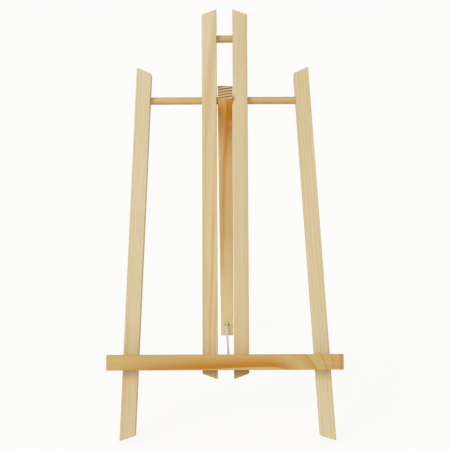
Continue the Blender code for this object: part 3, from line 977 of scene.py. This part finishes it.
def bent_staple(name, seat, wire):
    """Round wire run up from one point, bent over the crown and down to the other point."""
    deselect_all()
    bpy.ops.mesh.primitive_circle_add(
        vertices=WIRE_SIDES, radius=wire / 2, fill_type="NGON",
        location=(STAPLE_HALF_SPAN, -STAPLE_BITE, 0), rotation=(math.radians(-90), 0, 0),
    )
    staple = bpy.context.object
    staple.name = name
    bpy.ops.object.transform_apply(location=True, rotation=True, scale=True)
    bend_out = STAPLE_CROWN - STAPLE_CORNER
    bend_across = STAPLE_HALF_SPAN - STAPLE_CORNER
    leg = STAPLE_BITE + bend_out
    corner = {"steps": STAPLE_CORNER_STEPS, "angle": math.radians(90), "axis": (0, 0, 1)}
    bpy.ops.object.mode_set(mode="EDIT")
    bpy.ops.mesh.select_all(action="SELECT")
    bpy.ops.mesh.extrude_region_move(TRANSFORM_OT_translate={"value": (0, leg, 0)})
    bpy.ops.mesh.spin(center=(bend_across, bend_out, 0), **corner)
    bpy.ops.mesh.extrude_region_move(TRANSFORM_OT_translate={"value": (-2 * bend_across, 0, 0)})
    bpy.ops.mesh.spin(center=(-bend_across, bend_out, 0), **corner)
    bpy.ops.mesh.extrude_region_move(TRANSFORM_OT_translate={"value": (0, -leg, 0)})
    bpy.ops.mesh.select_all(action="SELECT")
    bpy.ops.mesh.remove_doubles(threshold=MERGE_DISTANCE)
    bpy.ops.mesh.normals_make_consistent(inside=False)
    bpy.ops.object.mode_set(mode="OBJECT")
    staple.matrix_world = seat
    bpy.ops.object.transform_apply(location=True, rotation=True, scale=True)
    bpy.ops.object.shade_smooth_by_angle(angle=WIRE_SMOOTH_ANGLE)
    return staple


class EASEL_OT_staples(bpy.types.Operator):
    """Bend the wire staples that hold the ends of the stay cord"""
    bl_idname = "easel.staples"
    bl_label = "Staples"

    def execute(self, context):
        wire = context.scene.easel_cord.wire
        zinc = galvanised_wire("galvanised_wire_staples")
        for node_name, seat, body in (
            ("rear_leg_staple", rear_seat(), "rear_leg"),
            ("ledge_staple", ledge_seat(), "front_frame"),
        ):
            staple = bent_staple(node_name + "_wire", seat, wire)
            staple.data.materials.append(zinc)
            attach(staple, body)
            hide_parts(node_name)
        return {"FINISHED"}


class EASEL_OT_brads(bpy.types.Operator):
    """Finish the brads that hold the ledge in galvanised steel"""
    bl_idname = "easel.brads"
    bl_label = "Brads"

    def execute(self, context):
        zinc = galvanised_wire("galvanised_wire_brads")
        for strip_name in ("left_leg", "left_upright", "right_upright", "right_leg"):
            dress("brad_" + strip_name, zinc)
        return {"FINISHED"}


def seen_rays(tree):
    """1 on a ray from the camera, also by way of a mirror or glass, and 0 on one that lights the easel."""
    ray = add_node(tree, "LightPath").node.outputs
    seen = add_node(
        tree, "Math", {0: ray["Is Camera Ray"], 1: ray["Is Glossy Ray"]}, operation="MAXIMUM",
    )
    return add_node(tree, "Math", {0: seen, 1: ray["Is Transmission Ray"]}, operation="MAXIMUM")


def white_world(sky):
    """Even white light, and pure white behind the easel and in its reflections."""
    world = bpy.data.worlds.new("white_studio")
    world.use_nodes = True
    tree = world.node_tree
    strength = add_node(tree, "MapRange", {"Value": seen_rays(tree), "To Min": sky, "To Max": 1.0})
    background = tree.nodes["Background"]
    background.inputs["Color"].default_value = (1.0, 1.0, 1.0, 1.0)
    tree.links.new(strength, background.inputs["Strength"])
    bpy.context.scene.world = world


def white_floor(name, colour):
    """Matt white paper: seen directly it is nearly white, with the easel's shadow left faint."""
    material, tree, shader = new_material(name)
    tree.nodes.remove(shader)
    share = add_node(tree, "Math", {0: seen_rays(tree), 1: FLOOR_WHITE}, operation="MULTIPLY")
    # Paper fibres are too fine to show, so they are drawn a little over a millimetre apart
    fibre = add_node(tree, "TexNoise", {
        "Vector": add_node(tree, "TexCoord", out="Object"), "Scale": 0.9 * MM,
    })
    tone = add_node(tree, "ValToRGB", {0: fibre}, stops=((0.0, colour), (1.0, (1.0, 1.0, 1.0, 1.0))))
    paper = add_node(tree, "BsdfDiffuse", {"Color": tone})
    glow = add_node(tree, "Emission", {"Strength": 1.0})
    surface = add_node(tree, "MixShader", {0: share, 1: paper, 2: glow})
    tree.links.new(surface, tree.nodes["Material Output"].inputs["Surface"])
    return material


def lay_floor(stage):
    """Floor plane, which isn't part of the easel."""
    deselect_all()
    bpy.ops.mesh.primitive_plane_add(size=stage.floor_size, location=(0, 0, 0))
    floor = bpy.context.object
    floor.name = "floor"
    floor.data.materials.append(white_floor("matt_white_paper", tuple(stage.floor)))


def hang_key_light(stage):
    """Wide soft light that shines from its place towards the easel's foot."""
    bpy.ops.object.light_add(type="SUN", location=KEY_LIGHT_PLACE)
    key = bpy.context.object
    key.name = "key_light"
    key.rotation_euler = (-KEY_LIGHT_PLACE).to_track_quat("-Z", "Y").to_euler()
    key.data.angle = stage.key_spread
    key.data.energy = stage.key_strength


def stand_camera(stage):
    """Camera at the photograph's viewing angle."""
    bpy.ops.object.camera_add(location=CAMERA_PLACE)
    camera = bpy.context.object
    camera.name = "camera"
    yaw = Matrix.Rotation(CAMERA_YAW, 4, "Z")
    pitch = Matrix.Rotation(CAMERA_PITCH, 4, "X")
    roll = Matrix.Rotation(CAMERA_ROLL, 4, "Z")
    camera.rotation_euler = (yaw @ pitch @ roll).to_euler()
    camera.data.sensor_width = CAMERA_SENSOR_MM
    camera.data.lens = stage.lens
    bpy.context.scene.camera = camera


class EASEL_OT_stage(bpy.types.Operator):
    """Lay the floor and set up the soft light and the camera"""
    bl_idname = "easel.stage"
    bl_label = "Stage"

    def execute(self, context):
        stage = context.scene.easel_stage
        lay_floor(stage)
        white_world(stage.sky)
        hang_key_light(stage)
        stand_camera(stage)
        context.scene.view_settings.view_transform = "Standard"
        return {"FINISHED"}


class EASEL_PT_panel(bpy.types.Panel):
    """The easel's pieces and their settings"""
    bl_label = "Easel"
    bl_idname = "EASEL_PT_panel"
    bl_space_type = "VIEW_3D"
    bl_region_type = "UI"
    bl_category = "Easel"

    def draw(self, context):
        for operator in OPERATORS:
            self.layout.operator(operator.bl_idname)
        for group in SETTINGS:
            settings = getattr(context.scene, group)
            for name in settings.bl_rna.properties.keys():
                if name not in ("rna_type", "name"):
                    self.layout.prop(settings, name)


SETTINGS = {
    "easel_wood": EaselWoodSettings,
    "easel_cord": EaselCordSettings,
    "easel_stage": EaselStageSettings,
}
OPERATORS = (
    EASEL_OT_stage,
    EASEL_OT_stay_cord,
    EASEL_OT_staples,
    EASEL_OT_pine_strips,
    EASEL_OT_ledge,
    EASEL_OT_rear_leg,
    EASEL_OT_dowels,
    EASEL_OT_brads,
)


def register():
    for item in (*SETTINGS.values(), *OPERATORS, EASEL_PT_panel):
        bpy.utils.register_class(item)
    for name, group in SETTINGS.items():
        setattr(bpy.types.Scene, name, bpy.props.PointerProperty(type=group))


def unregister():
    for name in SETTINGS:
        delattr(bpy.types.Scene, name)
    for item in reversed((*SETTINGS.values(), *OPERATORS, EASEL_PT_panel)):
        bpy.utils.unregister_class(item)


def main():
    register()
    bpy.ops.easel.stage()
    bpy.ops.easel.stay_cord()
    bpy.ops.easel.staples()
    bpy.ops.easel.pine_strips()
    bpy.ops.easel.ledge()
    bpy.ops.easel.rear_leg()
    bpy.ops.easel.dowels()
    bpy.ops.easel.brads()


if __name__ == "__main__":
    main()
